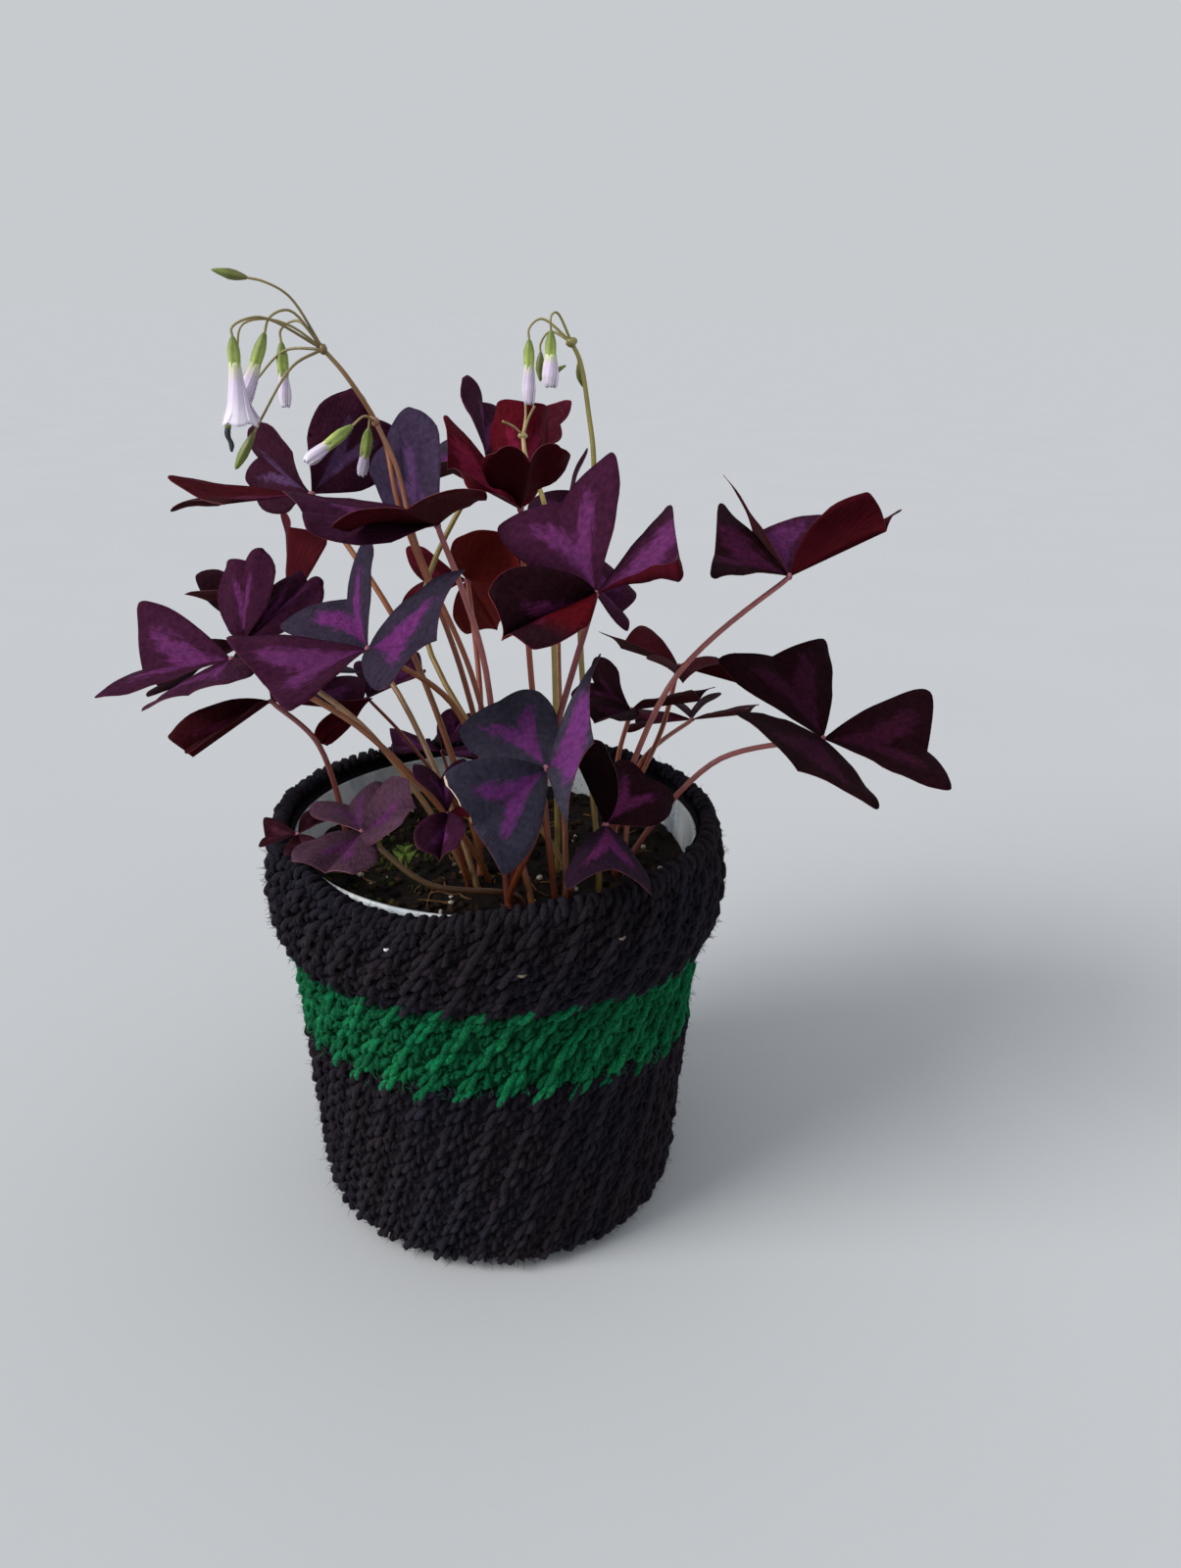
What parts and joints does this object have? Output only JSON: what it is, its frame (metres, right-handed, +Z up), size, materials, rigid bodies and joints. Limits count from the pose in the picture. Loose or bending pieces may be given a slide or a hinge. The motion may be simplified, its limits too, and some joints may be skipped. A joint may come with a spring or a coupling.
{
  "type": "potted purple shamrock",
  "caption": "Potted purple shamrock with folded purple leaves and pale bell flowers on long stalks, in a white pot inside a crocheted cover.",
  "frame": {"origin": "centre of the crocheted cover's flat base, on the surface that it stands on", "axes": "+Z up, -Y towards the side that the picture shows, +X to the right as seen from that side"},
  "size_m": [0.29, 0.2271, 0.3419],
  "materials": {
    "yarn_black": "matte fuzzy yarn",
    "yarn_green": "matte fuzzy yarn",
    "pot_plastic": "smooth, slightly translucent",
    "soil": "loose potting soil",
    "leaf_stalk": "smooth, juicy",
    "leaf": "soft satin",
    "flower_stalk": "smooth, juicy",
    "petal": "thin and soft",
    "seedling": "soft satin"
  },
  "bodies": {
    "root": {"cover_lower_black": "yarn_black", "cover_band_green": "yarn_green", "cover_cuff_black": "yarn_black", "pot_white": "pot_plastic", "soil": "soil", "rhizome_and_leaf_stalks": "leaf_stalk", "leaf_01": "leaf", "leaf_02": "leaf", "leaf_03": "leaf", "leaf_04": "leaf", "leaf_05": "leaf", "leaf_06": "leaf", "leaf_07": "leaf", "leaf_08": "leaf", "leaf_09": "leaf", "leaf_10": "leaf", "leaf_11": "leaf", "leaf_12": "leaf", "leaf_13": "leaf", "leaf_14": "leaf", "leaf_15": "leaf", "leaf_16": "leaf", "leaf_17": "leaf", "leaf_18": "leaf", "leaf_19": "leaf", "leaf_20": "leaf", "leaf_21": "leaf", "leaf_22": "leaf", "leaf_23": "leaf", "leaf_24": "leaf", "flower_stalk_1": "flower_stalk", "flower_stalk_1_corolla_1": "petal", "flower_stalk_1_corolla_2": "petal", "flower_stalk_1_corolla_3": "petal", "flower_stalk_2": "flower_stalk", "flower_stalk_2_corolla_1": "petal", "flower_stalk_2_corolla_2": "petal", "flower_stalk_3": "flower_stalk", "flower_stalk_3_corolla_1": "petal", "flower_stalk_3_corolla_2": "petal", "flower_stalk_4": "flower_stalk", "seedling_1": "seedling", "seedling_2": "seedling"}
  },
  "joints": []
}
